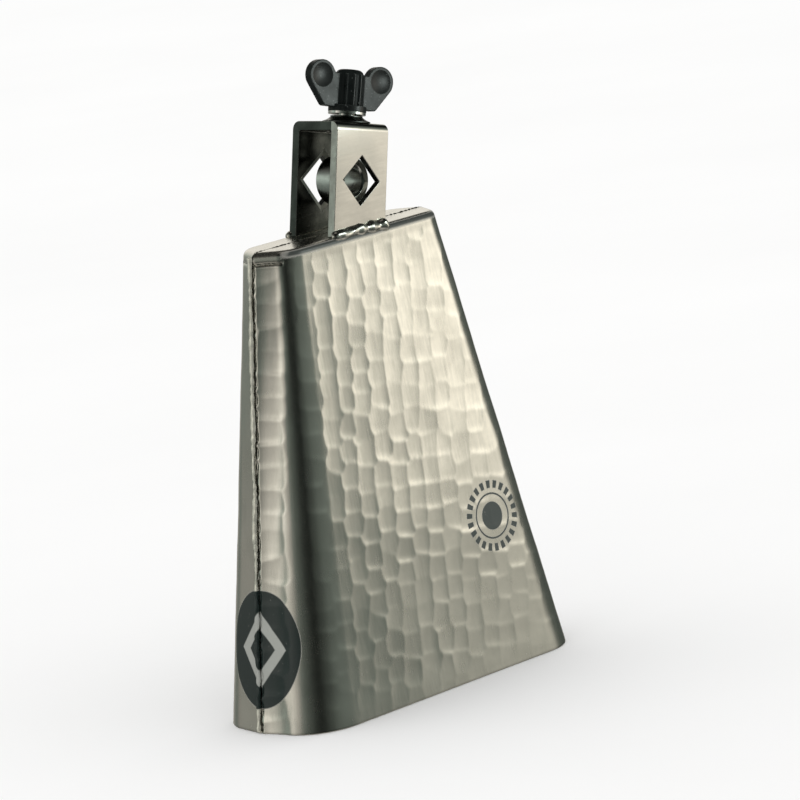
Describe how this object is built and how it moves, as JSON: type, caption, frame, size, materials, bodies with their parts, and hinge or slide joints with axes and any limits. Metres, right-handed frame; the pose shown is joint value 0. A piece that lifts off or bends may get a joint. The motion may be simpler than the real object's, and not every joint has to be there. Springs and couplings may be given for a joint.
{
  "type": "cowbell",
  "caption": "Large hand-held or rod-mounted cowbell: hammered, flared steel bell without a clapper, bracket with an eye bolt and a wing nut that clamps it on a round rod.",
  "frame": {"origin": "centre of the mouth rim, on the plane the bell stands on", "axes": "+Z from the mouth to the closed end, +X along the broad face, +Y from the front face to the back face"},
  "size_m": [0.1716, 0.068, 0.2772],
  "materials": {
    "hammered_steel": "hand-hammered sheet steel, satin clear-coated",
    "weld_metal": "lumpy weld metal, polished over",
    "bracket_steel": "polished steel strap",
    "bolt_steel": "bright plated steel",
    "nut_plastic": "moulded black plastic"
  },
  "bodies": {
    "bell": {"front_shell": "hammered_steel", "back_shell": "hammered_steel", "left_seam_weld": "weld_metal", "right_seam_weld": "weld_metal", "top_seam_weld": "weld_metal", "tab_weld_beads": "weld_metal", "mount_bracket": "bracket_steel", "bracket_weld_beads": "weld_metal", "flared_collar": "bolt_steel"},
    "wing_nut": {"wing_nut_body": "nut_plastic", "wing_nut_bush": "bolt_steel"},
    "eye_bolt": {"eye_bolt": "bolt_steel"}
  },
  "joints": [
    {"name": "wing_nut_turn", "type": "hinge", "parent": "bell", "child": "wing_nut", "pos_m": [0.00387, -0.002, 0.22371], "axis": [0.284, 0, 0.9588], "range_deg": [-1440, 0]},
    {"name": "eye_bolt_lift", "type": "slide", "parent": "bell", "child": "eye_bolt", "axis": [0.284, 0, 0.9588], "range_m": [0, 0.005]}
  ],
  "couplings": [
    {"joint": "wing_nut_turn", "follows": "eye_bolt_lift", "rad_per_m": -5026.5}
  ]
}
